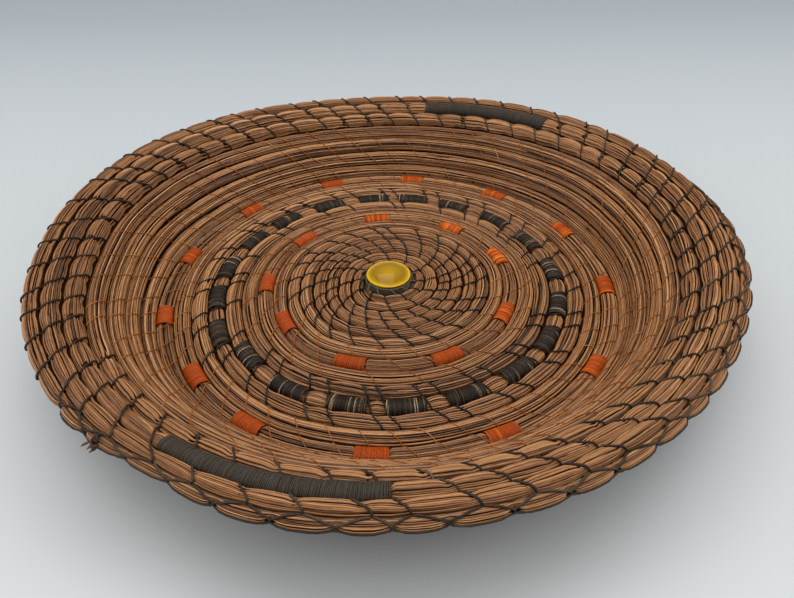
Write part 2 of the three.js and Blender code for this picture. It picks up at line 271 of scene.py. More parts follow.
THREADS = {
    "black": ThreadFinish("black_waxed_linen", "#1b1612", "#382f26", "#6c604f"),
    # The thread of the rim, its crossed edge and its knot is paler than the black of the middle.
    "worn": ThreadFinish("worn_waxed_linen", "#2b2219", "#574938", "#8f7d64"),
    "orange": ThreadFinish("orange_waxed_linen", "#96561f", "#c0803f", "#deac70"),
    "binding": ThreadFinish("grey_waxed_linen", "#4f4a3d", "#78715e", "#a0987f"),
    "dark_wrap": ThreadFinish("dark_wound_linen", "#211a14", "#523f2e", "#b8a288", 0.45, 2.5),
    "long_wrap": ThreadFinish("matte_wound_linen", "#3f3932", "#5f574d", "#857b6d", 0.7, 2.0),
    "orange_wrap": ThreadFinish("orange_wound_cotton", "#a4440a", "#da6c0e", "#f2a03c", 0.45, 3.0, 0.2),
}


@dataclass(frozen=True)
class GlazedDiscFinish:
    """Glazed ceramic: clear yellow glaze that runs thin and pale over the rim, with a hard gloss."""

    name: str = "glazed_ceramic"
    glaze: str = "#ac8600"
    pooled: str = "#876600"
    rim: str = "#c7a012"
    roughness: float = 0.06
    specular: float = 0.2
    clouding: float = 0.16

    def material(self, centre: Vector, radius: float) -> Material:
        """Builds the glaze.

        Args:
            centre: The disc's centre in the model.
            radius: The disc's radius in metres.

        Returns:
            The material.
        """
        material, kit, shader = new_material(self.name, self.roughness, self.specular)
        place = kit.add("TexCoord").outputs["Object"]
        flat = {"Vector": place, "Location": (-centre.x, -centre.y, 0.0), "Scale": (1.0, 1.0, 0.0)}
        share = kit.compute("DIVIDE", kit.reach(kit.add("Mapping", flat).outputs[0]), radius)
        # Glaze clouds about 4 mm wide.
        cloudy = kit.compute("MULTIPLY_ADD", kit.noise(place, 1 / (4 * MM), 2.0), self.clouding, share)
        stops = {0.1: self.glaze, 0.8: self.pooled, 0.98: self.glaze, 1.0: self.rim}
        kit.link(kit.ramp(cloudy, stops), shader, "Base Color")
        return material


@dataclass(frozen=True)
class BowlSection:
    """The bowl in section: a flat floor, a bend, a straight wall and a curve that opens toward the rim."""

    floor_end: float
    bend_radius: float = 9.2
    wall_angle: float = math.radians(50)
    wall_straight: float = 15.4
    rim_radius: float = 59.6
    rim_angle: float = math.radians(8)

    def at(self, arc: ndarray) -> tuple[ndarray, ndarray, ndarray]:
        """Finds places on the section.

        Args:
            arc: Ways travelled along the section from the centre.

        Returns:
            The distances from the axis, the heights and the slopes there.
        """
        lengths = (
            self.floor_end,
            self.bend_radius * self.wall_angle,
            self.wall_straight,
            self.rim_radius * (self.wall_angle - self.rim_angle),
        )
        starts = np.cumsum((0.0, *lengths))
        flat, bend, wall, curve = [np.clip(arc - start, 0, length) for start, length in zip(starts, lengths)]
        edge = np.maximum(arc - starts[-1], 0)
        turned = bend / self.bend_radius
        slope = turned - curve / self.rim_radius
        reach = flat + self.bend_radius * np.sin(turned) + wall * math.cos(self.wall_angle)
        height = self.bend_radius * (1 - np.cos(turned)) + wall * math.sin(self.wall_angle)
        opened = self.wall_angle - curve / self.rim_radius
        reach = reach + self.rim_radius * (math.sin(self.wall_angle) - np.sin(opened))
        height = height + self.rim_radius * (np.cos(opened) - math.cos(self.wall_angle))
        return reach + edge * math.cos(self.rim_angle), height + edge * math.sin(self.rim_angle), slope


@dataclass
class Rings:
    """Sections of the bundle: centres, the two directions of each section, and its half sizes."""

    centre: ndarray
    outward: ndarray
    up: ndarray
    half_width: ndarray
    half_height: ndarray
    reach: ndarray

    def part(self, chosen: slice) -> Rings:
        """Gives some of the sections."""
        return Rings(*(getattr(self, item.name)[chosen] for item in fields(self)))

    def tucked(self, depth: ndarray) -> Rings:
        """Gives the sections moved inward, each by its depth."""
        return replace(self, centre=self.centre - self.outward * depth[:, None])


@dataclass
class CoilPath:
    """The path of the one bundle that makes the basket.

    Turns count from its start in the middle. Each round runs as a ring and steps out at the seam.
    """

    gauge: float = 7.5
    core_share: float = 0.752
    floor_share: float = 0.96
    rim_shares: tuple[float, ...] = (1.12, 1.013, 0.88, 0.56)
    round_gap: float = 0.52
    core_rounds: int = 6
    easing_rounds: int = 3
    floor_rounds: int = 14
    wall_rounds: int = 4
    seam_angle: float = -148.0
    seam_span: float = 70.0
    end_angle: float = 17.0
    end_size: float = 2.0
    end_taper: float = 58.0
    end_tuck: float = 0.6
    floor_crown: float = 1.0
    rim_offset: float = 2.7
    rim_offset_angle: float = math.radians(110)
    oval_depth: float = 1.4
    oval_angle: float = math.radians(26)
    lobes: int = 3
    lobe_depth: float = 2.3
    hub_radius: float = 11.6
    flatness: float = math.cos(math.pi / 6)
    unevenness: float = 0.4
    waves: tuple[tuple, ...] = ((2, 0.02, 0.3), (5, -0.03, 2.1), (8, 0.04, 4.4), (13, -0.05, 1.2))
    even_reach: float = 18.0
    uneven_reach: float = 58.0
    wall_wave: float = 0.35
    wall_ease: float = 20.0
    dent_depth: float = 4.0
    dent_angle: float = math.radians(-119)
    dent_reach: float = math.radians(9)
    arcs: list[float] = field(init=False)
    radii: list[float] = field(init=False)
    section: BowlSection = field(init=False)

    def __post_init__(self) -> None:
        """Works out each round's thickness and its place along the section."""
        wall_top = self.floor_rounds + self.wall_rounds
        easing_end = self.core_rounds + self.easing_rounds
        self.radii = []
        for number in range(1, wall_top + len(self.rim_shares) + 1):
            if number <= easing_end:
                ease = max(0, number - self.core_rounds) / (self.easing_rounds + 1)
                share = self.core_share + (self.floor_share - self.core_share) * ease
            elif number <= self.floor_rounds:
                share = self.floor_share
            else:
                share = 1.0 if number <= wall_top else self.rim_shares[number - wall_top - 1]
            self.radii.append(share * self.gauge / 2)
        # The floor has no end until the place of its last round is known.
        self.section = BowlSection(floor_end=1e6)
        self.arcs = [self.hub_radius + self.radii[0]]
        for number in range(1, len(self.radii)):
            if number == self.floor_rounds:
                self.section = BowlSection(floor_end=self.arcs[-1])
            step = self.radii[number - 1] + self.radii[number] + self.round_gap
            last = self.section.at(np.array(self.arcs[-1]))
            arc = self.arcs[-1] + step
            for _ in range(6):
                here = self.section.at(np.array(arc))
                arc += step - math.hypot(here[0] - last[0], here[1] - last[1])
            self.arcs.append(float(arc))

    @property
    def end_turn(self) -> float:
        """The turn at which the bundle ends, on one of a round's 24 steps of 15 degrees."""
        return len(self.radii) - 1 + round((self.end_angle - self.seam_angle) / 15) / 24

    def round_length(self, turn: float) -> float:
        """Gives the length of the round at a turn, in millimetres."""
        return TAU * float(self.rings(np.array([turn])).reach[0])

    def turn_at(self, number: float, angle: float) -> float:
        """Gives the turn of an angle in degrees on a numbered round."""
        return number - 1 + (angle - self.seam_angle) / 360

    def place(self, turns: ndarray) -> tuple[ndarray, ndarray]:
        """Finds the bundle's place among the rounds.

        Args:
            turns: Turns along the bundle.

        Returns:
            The angles in radians, and the positions counted in rounds.
        """
        seam = np.round(turns)
        across = np.clip((turns - seam) / (self.seam_span / 720), -1, 1)
        return np.radians(self.seam_angle + 360 * turns), seam + (1.5 * across - 0.5 * across**3) / 2

    def between(self, position: ndarray, values: list[float]) -> ndarray:
        """Reads a value that is given for whole rounds at places between them.

        Args:
            position: The places, in rounds.
            values: The value for each round.

        Returns:
            The values there.
        """
        table = np.array(values)
        low = np.clip(np.floor(position + 0.5), 1, len(table) - 1).astype(int)
        return table[low - 1] + (table[low] - table[low - 1]) * (position + 0.5 - low)

    def spread(self, arc: ndarray, angle: ndarray) -> ndarray:
        """Moves a place on the section with the rim's own shape and the unevenness of hand work.

        Args:
            arc: Ways along the section.
            angle: Angles round the axis.

        Returns:
            The moved ways.
        """
        start = self.arcs[self.floor_rounds - 1] + self.gauge / 2
        share = np.clip((arc - start) / (self.arcs[-2] - start), 0, 1.2)
        shape = self.rim_offset * np.cos(angle - self.rim_offset_angle)
        shape = shape + self.oval_depth * np.cos(2 * (angle - self.oval_angle))
        shape = shape + self.lobe_depth * np.sin(self.lobes * angle)
        # The edge draws in where the crossed stitching starts.
        near = np.clip((arc - self.arcs[-4]) / (self.arcs[-1] + self.radii[-1] - self.arcs[-4]), 0, 1) ** 2
        off = np.remainder(angle - self.dent_angle + math.pi, TAU) - math.pi
        dent = self.dent_depth * near * np.exp(-((off / self.dent_reach) ** 2))
        uneven = np.zeros_like(arc)
        for count, slide, phase in self.waves:
            uneven = uneven + np.sin(count * angle + slide * arc + phase) / math.sqrt(count)
        ease = np.clip((arc - self.even_reach) / (self.uneven_reach - self.even_reach), 0, 1)
        return arc + share * shape - dent + self.unevenness * ease * uneven

    def rings(self, turns: ndarray) -> Rings:
        """Gives the bundle's sections.

        Args:
            turns: Turns along the bundle.

        Returns:
            The sections, in millimetres about the basket's axis.
        """
        angle, position = self.place(turns)
        plain_radius = self.between(position, self.radii)
        plain_arc = self.between(position, self.arcs)
        rim_length = TAU * float(self.section.at(np.array(self.arcs[-1]))[0])
        taper = np.clip((self.end_turn - turns) * rim_length / self.end_taper, 0, 1)
        inner = np.maximum(plain_arc - plain_radius, self.hub_radius) - self.end_tuck * (1 - taper)
        outer = inner + self.end_size + (plain_arc + plain_radius - inner - self.end_size) * taper
        start, stop = self.spread(inner, angle), self.spread(outer, angle)
        radius = (stop - start) / 2
        reach, height, slope = self.section.at((start + stop) / 2)
        core = np.maximum(0, 1 - (inner + outer) / 2 / self.arcs[self.core_rounds + self.easing_rounds - 1])
        missing = np.maximum(0, self.floor_share * self.gauge - 2 * radius)
        lift = np.where(position < self.floor_rounds, missing, 0)
        height = height + (radius + lift) * self.flatness + self.floor_crown * core * (2 - core)
        wall = np.clip((plain_arc - self.arcs[self.floor_rounds - 1]) / self.wall_ease, 0, 1)
        height = height + self.wall_wave * wall * np.sin(5 * angle + 0.4 * position)
        flat = np.stack([np.cos(angle), np.sin(angle), np.zeros_like(angle)], axis=-1)
        rise = np.array([0.0, 0.0, 1.0])
        lean, level = np.sin(slope)[..., None], np.cos(slope)[..., None]
        return Rings(
            centre=flat * reach[..., None] + rise * height[..., None],
            outward=flat * level + rise * lean,
            up=rise * level - flat * lean,
            half_width=radius + self.round_gap / 2,
            half_height=radius * self.flatness,
            reach=reach,
        )


class Zone(Enum):
    """The bands of stitching: piece, finish, slot, thickness, and how hard the thread pulls the bundle in."""

    CENTRE = ("stitches_centre", "black", "dark_thread", 0.72, 0.4)
    INNER_ORANGE = ("stitches_inner_orange", "orange", "orange_thread", 0.48, 0.07)
    DARK_BAND = ("stitches_dark_band", "black", "dark_thread", 0.74, 0.3)
    OUTER_ORANGE = ("stitches_outer_orange", "orange", "orange_thread", 0.42, 0.07)
    RIM = ("stitches_rim", "worn", "dark_thread", 0.84, 0.36)

    def __init__(self, piece: str, finish: str, slot: str, thickness: float, pull: float) -> None:
        """Keeps the band's values."""
        self.piece, self.finish, self.slot, self.thickness, self.pull = piece, finish, slot, thickness, pull


@dataclass(frozen=True)
class Stitch:
    """One stitch: where it crosses the bundle, and how far it slants along it, both in turns."""

    turn: float
    slant: float
    zone: Zone


@dataclass(frozen=True)
class WrapSet:
    """A set of like wraps on one round: their length and angles, and the thread that they are wound with.

    The spread is that of the thread's shade, strays are groups of turns that lie over the others, and the
    painted light is a share by which the wraps are painted lighter toward the lamps and darker opposite.
    """

    name: str
    number: int
    length: float
    thread: str
    finish: str
    thickness: float
    spread: float
    strays: int
    fading: float
    angles: tuple[float, ...]


@dataclass(frozen=True)
class Wrap:
    """One wound wrap, with the node that it stands for and its ends in turns."""

    node: str
    start: float
    end: float
    kind: WrapSet


INNER_ANGLES = (-147.8, -106.6, -65.8, -26.1, 18.5, 53.7, 95.7, 139.2, 180.2)
DARK_ANGLES = (
    -139.9, -120.5, -102.1, -85.8, -68.2, -49.7, -32.6, -14.4, 5.2, 24.5,
    43.0, 62.0, 79.4, 95.6, 114.5, 134.1, 151.6, 169.9, 187.2, 205.3,
)
OUTER_ANGLES = (-142.3, -121.7, -94.0, -66.5, -35.9, -3.8, 24.3, 52.6, 81.4, 108.4, 137.9, 166.5, 192.8)


@dataclass
class WrapPlan:
    """The four sets of wraps on the coil."""

    path: CoilPath
    sets: tuple[WrapSet, ...] = (
        WrapSet("orange_wrap_inner", 8, 13.0, "orange", "orange_wrap", 0.42, 0.28, 0, 0.3, INNER_ANGLES),
        WrapSet("dark_wrap", 11, 15.6, "dark", "dark_wrap", 0.5, 0.4, 3, 0.0, DARK_ANGLES),
        WrapSet("orange_wrap_outer", 14, 12.7, "orange", "orange_wrap", 0.42, 0.28, 0, 0.15, OUTER_ANGLES),
        WrapSet("long_dark_wrap", 20, 75.0, "dark", "long_wrap", 0.5, 0.1, 3, 0.0, (-105.5, 64.5)),
    )

    def wraps(self) -> list[Wrap]:
        """Lists every wrap.

        Returns:
            The wraps in the order of their nodes.
        """
        found = []
        for kind in self.sets:
            for index, angle in enumerate(kind.angles, 1):
                middle = self.path.turn_at(kind.number, angle)
                half = kind.length / 2 / self.path.round_length(middle)
                found.append(Wrap(f"{kind.name}_{index:02d}", middle - half, middle + half, kind))
        return found


@dataclass
class StitchPlan:
    """Where the stitches lie. Lines of stitches run outward and drift a little from round to round."""

    path: CoilPath
    wraps: list[Wrap]
    seed: int = 41
    centre_lines: int = 24
    centre_drift: float = 6.0
    orange_lines: int = 50
    orange_drift: float = 3.5
    rim_lines: int = 56
    rim_drift: float = 2.4
    drift_spread: float = 0.14
    beside: float = 0.0012
    kept_share: float = 0.87
    first_apex: float = 21.02

    def band(
        self, zone: Zone, start: float, end: float, lines: int, drift: float, before: tuple[Stitch, ...] = ()
    ) -> list[Stitch]:
        """Lays the lines of one band: each stitch starts in the valley where the last one of its line ended.

        Args:
            zone: The band.
            start: First turn.
            end: Last turn.
            lines: How many lines go round the basket.
            drift: How far a stitch slants over its round, in degrees.
            before: The stitches that the lines carry on from, with new lines between them where needed.

        Returns:
            The stitches in their order.
        """
        if before:
            firsts = sorted(stitch.turn + stitch.slant / 2 + 1 + drift / 720 for stitch in before)
            if lines >= 2 * len(firsts):
                nexts = [*firsts[1:], firsts[0] + 1 + drift / 360]
                firsts = sorted(firsts + [(low + high) / 2 for low, high in zip(firsts, nexts)])
        else:
            rng = np.random.default_rng(self.seed + round(start * 10))
            step = (1 + drift / 360) / lines
            firsts = list(start + step * (np.arange(lines) + rng.normal(0, 0.05, lines)))
        rng = np.random.default_rng(self.seed + len(firsts))
        found = []
        for turn in firsts:
            slant = drift / 360
            while turn < end:
                found.append(Stitch(float(turn), float(slant), zone))
                onward = rng.normal(drift, self.drift_spread * drift) / 360
                turn += slant / 2 + 1 + onward / 2
                slant = onward
        return sorted(found, key=lambda stitch: stitch.turn)

    def stitches(self) -> list[Stitch]:
        """Lists every stitch but those that cross over the edge.

        Returns:
            The stitches in their order.
        """
        rng = np.random.default_rng(self.seed)
        lines, drift = self.centre_lines, self.centre_drift
        found = self.band(Zone.CENTRE, 0.06, 2.0, lines // 2, drift)
        last = tuple(stitch for stitch in found if stitch.turn > found[-1].turn - 1 - drift / 400)
        found += self.band(Zone.CENTRE, 2.0, 6.0, lines, drift, last)
        found += self.band(Zone.INNER_ORANGE, 6.02, 9.0, lines, drift)
        for wrap in [wrap for wrap in self.wraps if wrap.kind.name == "dark_wrap"]:
            for turn in (wrap.start - self.beside, wrap.end + self.beside):
                found.append(Stitch(turn, 1.4 / 360, Zone.DARK_BAND))
                if rng.random() < self.kept_share:
                    found.append(Stitch(turn - 1 - 2.2 / 360, 3.0 / 360, Zone.DARK_BAND))
                found.append(Stitch(turn + 1 + 2.4 / 360, 3.4 / 360, Zone.DARK_BAND))
        found += self.band(Zone.OUTER_ORANGE, 12.0, 18.0, self.orange_lines, self.orange_drift)
        wound = [(wrap.start, wrap.end) for wrap in self.wraps if wrap.kind.thread == "orange"]
        found = [stitch for stitch in found if not any(low < stitch.turn < high for low, high in wound)]
        found += self.band(Zone.RIM, 18.01, self.first_apex, self.rim_lines, self.rim_drift)
        return sorted(found, key=lambda stitch: stitch.turn)

    def apexes(self, stitches: list[Stitch]) -> ndarray:
        """Finds where the crossed stitches of the last part round hang from the stitches inside them.

        Args:
            stitches: The other stitches.

        Returns:
            The turns of those places.
        """
        ends = [stitch.turn + stitch.slant / 2 + 1 for stitch in stitches if 20.0 < stitch.turn < 21.0]
        return np.array([turn for turn in ends if self.first_apex < turn < self.path.end_turn - 0.001])


@dataclass
class StrandBatch:
    """Strands laid one by one, then made one mesh of tubes with 4 or 6 sides by a curve's own bevel.

    Each strand carries the attribute "lay": the way along it in millimetres, its own number and its shade.
    The origin is where the basket's axis meets the ground, in metres.
    """

    name: str
    origin: Vector
    sides: int = 4
    number_step: float = 7.31
    lays: list[ndarray] = field(default_factory=list)

    def __post_init__(self) -> None:
        """Starts an empty curve."""
        self.curve = bpy.data.curves.new(self.name, "CURVE")
        self.curve.dimensions = "3D"
        self.curve.bevel_depth = MM
        self.curve.bevel_resolution = (self.sides - 4) // 2

    def add(
        self, points: ndarray, radii: ndarray | float, shade: ndarray | float, closed: bool = False
    ) -> None:
        """Adds one strand.

        Args:
            points: Its middle line in millimetres about the axis.
            radii: Its half thickness, at each point or everywhere, in millimetres.
            shade: Its shade, at each point or everywhere.
            closed: Whether it is a loop.
        """
        count = len(points)
        spline = self.curve.splines.new("POLY")
        spline.points.add(count - 1)
        spline.use_cyclic_u = closed
        spline.use_smooth = True
        places = np.ones((count, 4), dtype=np.float32)
        places[:, :3] = points * MM + np.array(self.origin)
        spline.points.foreach_set("co", places.ravel())
        spline.points.foreach_set("radius", np.full(count, radii, dtype=np.float32))
        along = np.concatenate([[0.0], np.cumsum(np.linalg.norm(np.diff(points, axis=0), axis=1))])
        number = np.full(count, self.number_step * len(self.lays))
        lay = np.stack([along, number, np.full(count, shade)], axis=1)
        self.lays.append(np.repeat(lay, self.sides, axis=0))

    def build(self, material: Material, slot: str, node: str = "") -> None:
        """Makes the mesh, closes the strands' tips and adds the piece.

        Args:
            material: The finish.
            slot: The record's material slot; not used.
            node: The node that the piece replaces, if any.
        """
        holder = bpy.data.objects.new(self.name, self.curve)
        bpy.context.collection.objects.link(holder)
        graph = bpy.context.evaluated_depsgraph_get()
        mesh = bpy.data.meshes.new_from_object(holder.evaluated_get(graph), depsgraph=graph)
        bpy.data.objects.remove(holder)
        bpy.data.curves.remove(self.curve)
        lay = mesh.attributes.new("lay", "FLOAT_VECTOR", "POINT")
        lay.data.foreach_set("vector", np.concatenate(self.lays).astype(np.float32).ravel())
        shape = bmesh.new()
        shape.from_mesh(mesh)
        bmesh.ops.remove_doubles(shape, verts=shape.verts, dist=0.0005 * MM)
        shape.to_mesh(mesh)
        shape.free()
        mesh.name = self.name
        add_piece(mesh, material, node)


def add_piece(mesh: Mesh, material: Material, node: str) -> None:
    """Adds a mesh to the scene as a piece of the basket.

    Args:
        mesh: Its mesh, in place, with the piece's name.
        material: Its finish.
        node: The node that it replaces, if any.
    """
    mesh.materials.clear()
    mesh.materials.append(material)
    piece = bpy.data.objects.new(mesh.name, mesh)
    bpy.context.collection.objects.link(piece)
    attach(piece, "root")
    if node:
        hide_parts(node)
    LOG.info("%s: %d faces", mesh.name, len(mesh.polygons))


def smooth_mesh(shape: bmesh.types.BMesh, name: str) -> Mesh:
    """Turns a finished shape into a mesh with smooth faces, and frees it.

    Args:
        shape: The shape.
        name: The mesh's name.

    Returns:
        The mesh.
    """
    for face in shape.faces:
        face.smooth = True
    mesh = bpy.data.meshes.new(name)
    shape.to_mesh(mesh)
    shape.free()
    return mesh


@dataclass
class Bundle:
    """The bundle as it lies in the finished basket: pulled in by its stitches and drawn tight by its wraps.

    The crossed stitches of the edge start at the apexes. Their feet between them pull in the edge.
    """

    path: CoilPath
    stitches: list[Stitch]
    wraps: list[Wrap]
    apexes: ndarray
    pull_length: float = 2.2
    foot_pull: float = 0.42
    foot_drop: float = 0.35
    shoulder: float = 1.3
    step_length: float = 3.0
    least_step: float = 1e-5
    pull_turns: float = 0.12

    def __post_init__(self) -> None:
        """Works out the bundle's sections at closely spaced stations."""
        feet = (self.apexes[1:] + self.apexes[:-1]) / 2
        marks = [(turn, self.foot_drop, self.foot_pull) for turn in feet.tolist()]
        for stitch in self.stitches:
            across = 0.5 * stitch.zone.pull
            marks += [(stitch.turn, 2 * across, across), (stitch.turn + stitch.slant / 2, 0.0, across)]
        marks = sorted(mark for mark in marks if 0.0 < mark[0] < self.path.end_turn)
        self.turns = self.stations([turn for turn, down, _ in marks if down > 0])
        rings = self.path.rings(self.turns)
        steps = np.linalg.norm(np.diff(rings.centre, axis=0), axis=1)
        self.lengths = np.concatenate([[0.0], np.cumsum(steps)])
        lowered, narrowed = np.zeros_like(self.turns), np.zeros_like(self.turns)
        for turn, down, across in marks:
            near = slice(*np.searchsorted(self.turns, (turn - self.pull_turns, turn + self.pull_turns)))
            bell = self.bell(self.turns[near] - turn, rings.reach[near])
            lowered[near] = np.maximum(lowered[near], down * bell)
            narrowed[near] = np.maximum(narrowed[near], across * bell)
        # At its feet the crossed stitching also draws the edge against the round inside it.
        bells = self.bell(self.turns[:, None] - feet, rings.reach[:, None])
        self.tuck = self.foot_pull * rings.half_width * bells.max(axis=1)
        self.rings = rings.tucked(self.tuck)
        self.height = rings.half_height * (1 - lowered)
        self.width = rings.half_width * (1 - narrowed)
        drawn = [np.interp(self.turns, self.edges(wrap), (0, 1, 1, 0)) for wrap in self.wraps]
        self.drawn = np.max(drawn, axis=0)

    def bell(self, away: ndarray, reach: ndarray) -> ndarray:
        """Gives how strongly a thread pulls the bundle at a distance in turns."""
        return np.exp(-((away * TAU * reach / self.pull_length) ** 2))

    def edges(self, wrap: Wrap) -> tuple[float, ...]:
        """Gives the turns at a wrap's ends, with the shoulders beside it where the bundle draws in."""
        ease = self.shoulder / self.path.round_length(wrap.start)
        return wrap.start - ease, wrap.start, wrap.end, wrap.end + ease

    def stations(self, pulls: list[float]) -> ndarray:
        """Spaces the stations evenly between the places that shape the bundle.

        Args:
            pulls: Turns where stitches pull it in.

        Returns:
            The stations' turns.
        """
        bounds = {0.0, self.path.end_turn, *pulls}
        for wrap in self.wraps:
            bounds.update(self.edges(wrap))
        ordered = np.array(sorted(bounds))
        lengths = np.diff(ordered) * TAU * self.path.rings(ordered[:-1]).reach
        turns = [0.0]
        for turn, length in zip(ordered[1:], lengths):
            if turn - turns[-1] >= self.least_step:
                count = max(1, math.ceil(length / self.step_length))
                turns.extend(np.linspace(turns[-1], turn, count + 1)[1:])
        return np.array(turns)

    def around(
        self, turns: ndarray, phi: ndarray, aside: ndarray | float, rise: ndarray | float, half: float
    ) -> ndarray:
        """Places points round the outside of the bundle, as its stitches pull it in.

        Args:
            turns: Turns along the bundle.
            phi: The angle of each point round its section, from outward through up.
            aside: How far a thread's middle stands out at the sides.
            rise: How far it stands out above and below.
            half: The thread's half thickness.

        Returns:
            The points.
        """
        rings = self.path.rings(turns).tucked(np.interp(turns, self.turns, self.tuck))
        width = np.interp(turns, self.turns, self.width) + aside
        height = np.interp(turns, self.turns, self.height) + rise
        return on_section(rings, phi, width, height, half * 1.1)


def fuller(values: ndarray) -> ndarray:
    """Turns a sine or cosine into one of a section a little fuller than an ellipse."""
    return np.sign(values) * np.abs(values) ** FULLNESS


def on_section(rings: Rings, phi: ndarray, width: ndarray, height: ndarray, low: float) -> ndarray:
    """Places points round the bundle's sections, which are full because the rounds press on each other.

    Args:
        rings: The sections.
        phi: The angle of each point round its section, from outward through up.
        width: Half widths to the points.
        height: Half heights to the points.
        low: The least height above the ground.

    Returns:
        The points.
    """
    across, rise = (width * fuller(np.cos(phi)))[:, None], (height * fuller(np.sin(phi)))[:, None]
    points = rings.centre + rings.outward * across + rings.up * rise
    points[:, 2] = np.maximum(points[:, 2], low)
    return points


@dataclass
class NeedleLayer:
    """The visible needles of the bundle, laid end to end side by side round a core of more needles painted
    dark as shade.

    Each piece of them reaches up to a turn of the coil.
    """

    bundle: Bundle
    origin: Vector
    rows: int = 27
    shortest: float = 120.0
    longest: float = 250.0
    skin: float = 0.8
    core_shade: float = -0.4
    valley_shade: float = -0.6
    valley_share: float = 0.42
    bend_share: float = 0.12
    edge_drop: float = 0.4
    buried_share: float = 0.2
    buried_depth: float = 0.36
    proud_share: float = 0.1
    tip_depth: float = 0.75
    seed: int = 7
    limits: tuple[tuple[str, float], ...] = (
        ("centre", 7.0), ("inner_floor", 10.0), ("outer_floor", 12.5), ("floor_edge", 14.5),
        ("wall", 16.2), ("wall_top", 18.0), ("rim_inner", 19.3), ("rim_outer", 20.5), ("rim_edge", 30.0),
    )

    def core(self, material: Material) -> None:
        """Makes the inside of the bundle and of the valleys, painted dark as shade, seen only between needles.

        Args:
            material: The finish of needles that light hardly reaches.
        """
        bundle, path = self.bundle, self.bundle.path
        batch = StrandBatch("needles_core", self.origin, 6)
        tight = np.maximum(bundle.height - self.skin - 0.5 * bundle.drawn, 0.25 * bundle.height)[::2]
        aside = (np.maximum(bundle.width - bundle.height, 0.0)[:, None] * bundle.rings.outward)[::2]
        # Two dark tubes fill the bundle's inside: painted shade seen between the needles.
        for side in (-1, 1):
            batch.add(bundle.rings.centre[::2] + side * aside, tight, self.core_shade)
        turns = bundle.turns[bundle.turns < path.end_turn - 1]
        rings = bundle.rings.part(slice(len(turns)))
        # The valley strand, painted dark as shade, is thicker where the floor turns up into the wall and the
        # valley opens.
        share = self.valley_share + self.bend_share * np.exp(-(((turns - path.floor_rounds) / 0.9) ** 2))
        size = share * np.minimum(rings.half_height, path.rings(turns + 1).half_height)
        drop = 0.75 * size + np.where(turns > math.floor(path.end_turn) - 1, self.edge_drop, 0.0)
        valley = rings.centre + (rings.half_width + 0.1)[:, None] * rings.outward - drop[:, None] * rings.up
        valley[:, 2] = np.maximum(valley[:, 2], size + 0.05)
        batch.add(valley[::2], size[::2], self.valley_shade)
        batch.build(material, "needles", "needle_coil")

    def build(self, material: Material) -> None:
        """Lays every needle.

        Args:
            material: The needles' finish.
        """
        bundle, rng = self.bundle, np.random.default_rng(self.seed)
        batches = [StrandBatch(f"needles_{name}", self.origin) for name, _ in self.limits]
        total = bundle.lengths[-1]
        for row in range(self.rows):
            place = -rng.uniform(0, self.longest)
            while place < total:
                length = rng.uniform(self.shortest, self.longest)
                first, last = np.searchsorted(bundle.lengths, (max(place, 0.0), min(place + length, total)))
                if last - first >= 6:
                    middle = bundle.turns[(first + last) // 2]
                    band = sum(middle > limit for _, limit in self.limits)
                    self.lay(batches[band], slice(first, min(last, len(bundle.turns))), row, rng)
                place += length - rng.uniform(8, 24)
        for batch in batches:
            batch.build(material, "needles", "needle_coil")

    def lay(self, batch: StrandBatch, span: slice, row: int, rng: np.random.Generator) -> None:
        """Lays one needle along the bundle.

        Args:
            batch: The piece that it belongs to.
            span: The stations that it passes.
            row: Its row round the bundle.
            rng: The source of its small differences.
        """
        bundle, pitch = self.bundle, TAU / self.rows
        way = bundle.lengths[span] - bundle.lengths[span.start]
        phi = pitch * (row + rng.uniform(-0.3, 0.3) + rng.uniform(-0.8, 0.8) * (way / way[-1] - 0.5))
        phi = phi + 0.16 * pitch * np.sin(TAU * (way / rng.uniform(35, 80) + rng.random()))
        ends = np.minimum(way, way[-1] - way)
        buried = abs(rng.normal(0, 0.15)) + (self.buried_depth if rng.random() < self.buried_share else 0.0)
        tip = 0.0 if rng.random() < self.proud_share else self.tip_depth
        depth = buried + tip * np.exp(-ends / 5.0) + 0.75 * bundle.drawn[span]
        width, height = bundle.width[span], bundle.height[span]
        girth = math.pi * (width + height) / self.rows / 2
        radius = girth * rng.uniform(0.76, 1.12) * (1 - 0.45 * np.exp(-ends / 9.0))
        radius[0] = radius[-1] = 0.0
        inset = depth * np.minimum(1.0, height / 2.4) + girth
        low = float(radius.max()) + 0.02
        points = on_section(bundle.rings.part(span), phi, width - inset, height - inset, low)
        # Needles that lie deeper are painted darker, as painted shade, and each needle is a little darker over
        # its last few millimetres.
        shade = np.clip(rng.normal(0.56, 0.15), 0.2, 0.9) - 0.5 * buried - 0.12 * np.exp(-ends / 3.0)
        batch.add(points, radius, shade)


